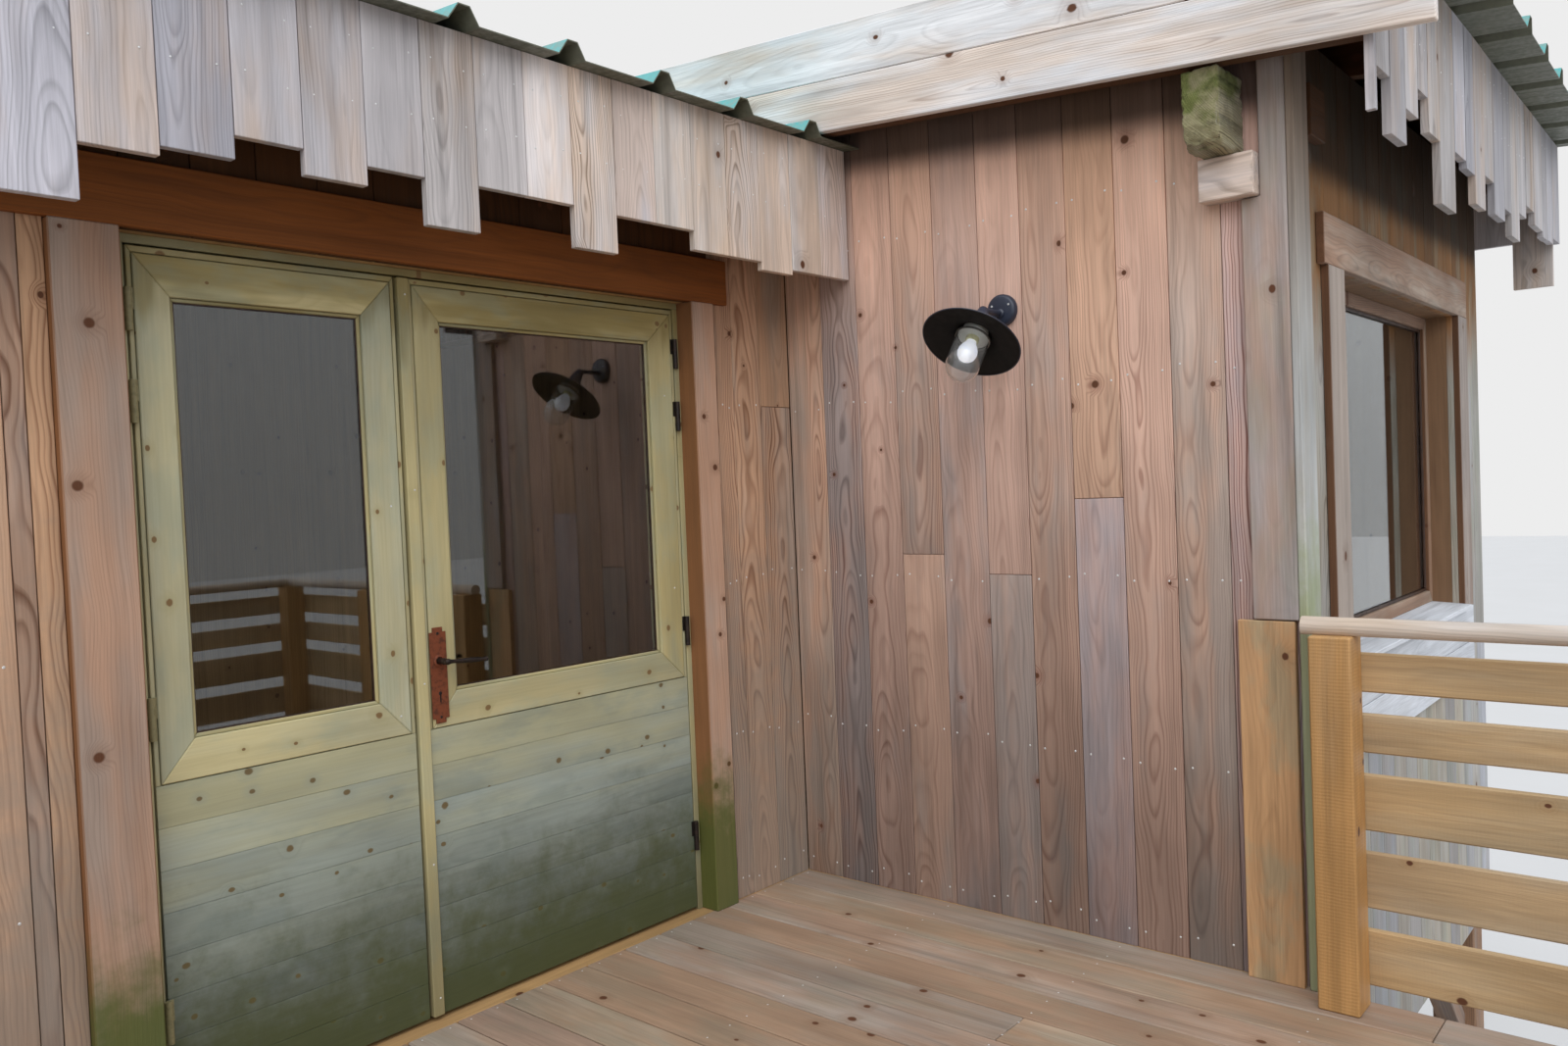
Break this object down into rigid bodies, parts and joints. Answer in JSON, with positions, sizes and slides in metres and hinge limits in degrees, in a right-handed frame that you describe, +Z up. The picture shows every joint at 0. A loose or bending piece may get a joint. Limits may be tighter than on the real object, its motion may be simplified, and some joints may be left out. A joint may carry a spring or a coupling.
{
  "type": "tree house",
  "caption": "Timber tree house on stilts with a glazed double door, a railed deck, a lamp, a forward wing with a picture window and ribbed steel roofs edged with staggered boards.",
  "frame": {"origin": "centre of the whole house in plan, at ground level under the stilts' feet", "axes": "+Z up; +X along the door wall towards the wing; +Y from the deck towards the back wall, so the deck's open side faces -Y"},
  "size_m": [6.67, 6.3, 5.3382],
  "materials": {
    "post_timber": "oiled, weathered",
    "rough_timber": "sawn",
    "deck_timber": "weathered",
    "floor_timber": "planed",
    "cladding": "oiled, uneven",
    "lintel_timber": "oiled",
    "door_timber": "painted long ago, worn",
    "frame_timber": "oiled",
    "cover_timber": "weathered",
    "fascia_timber": "weathered grey",
    "fringe_timber": "weathered",
    "mossy_timber": "mossy",
    "rail_timber": "oiled",
    "clear_glass": "clear",
    "bulb_glass": "frosted",
    "aged_bronze": "aged",
    "lamp_steel": "enamelled",
    "roof_steel": "coated sheet"
  },
  "bodies": {
    "house": {"stilts": "post_timber", "bearers": "rough_timber", "knee_braces": "rough_timber", "joists": "rough_timber", "deck_floor": "deck_timber", "room_floor": "floor_timber", "door_wall": "cladding", "door_wall_head": "cladding", "left_end_wall": "cladding", "back_wall": "cladding", "lamp_wall": "cladding", "window_wall": "cladding", "far_end_wall": "cladding", "door_lintel": "lintel_timber", "door_posts": "post_timber", "door_frame": "door_timber", "frame_hinges": "aged_bronze", "window_frame": "frame_timber", "window_glass": "clear_glass", "window_casing": "cover_timber", "window_sill": "cover_timber", "rafters": "rough_timber", "roof_boards": "rough_timber", "roof_sheets": "roof_steel", "rake_fascia": "fascia_timber", "main_fringe": "fringe_timber", "wing_fringe": "fringe_timber", "side_fringes": "fringe_timber", "corner_boards": "cover_timber", "beam_end": "mossy_timber", "lamp_bracket": "lamp_steel", "lamp_shade": "lamp_steel", "lamp_glass": "clear_glass", "lamp_bulb": "bulb_glass", "railing_posts": "rail_timber", "railing_boards": "rail_timber", "handrails": "rail_timber"},
    "left_door": {"left_leaf": "door_timber", "left_glass": "clear_glass", "left_leaf_hinges": "aged_bronze"},
    "right_door": {"right_leaf": "door_timber", "right_glass": "clear_glass", "right_leaf_hinges": "aged_bronze", "lock_plate": "aged_bronze"},
    "door_lever": {"lever": "aged_bronze"}
  },
  "joints": [
    {"name": "right_door_hinge", "type": "hinge", "parent": "house", "child": "right_door", "pos_m": [0.0445, 0.49, 3.2], "axis": [0, 0, 1], "range_deg": [0, 90]},
    {"name": "left_door_hinge", "type": "hinge", "parent": "house", "child": "left_door", "pos_m": [-1.6135, 0.49, 3.2], "axis": [0, 0, -1], "range_deg": [0, 90]},
    {"name": "lever_turn", "type": "hinge", "parent": "right_door", "child": "door_lever", "pos_m": [-0.886, 0.498, 3.16], "axis": [0, 1, 0], "range_deg": [0, 40], "stiffness_Nm_per_rad": 1, "springref_deg": -22.92}
  ]
}
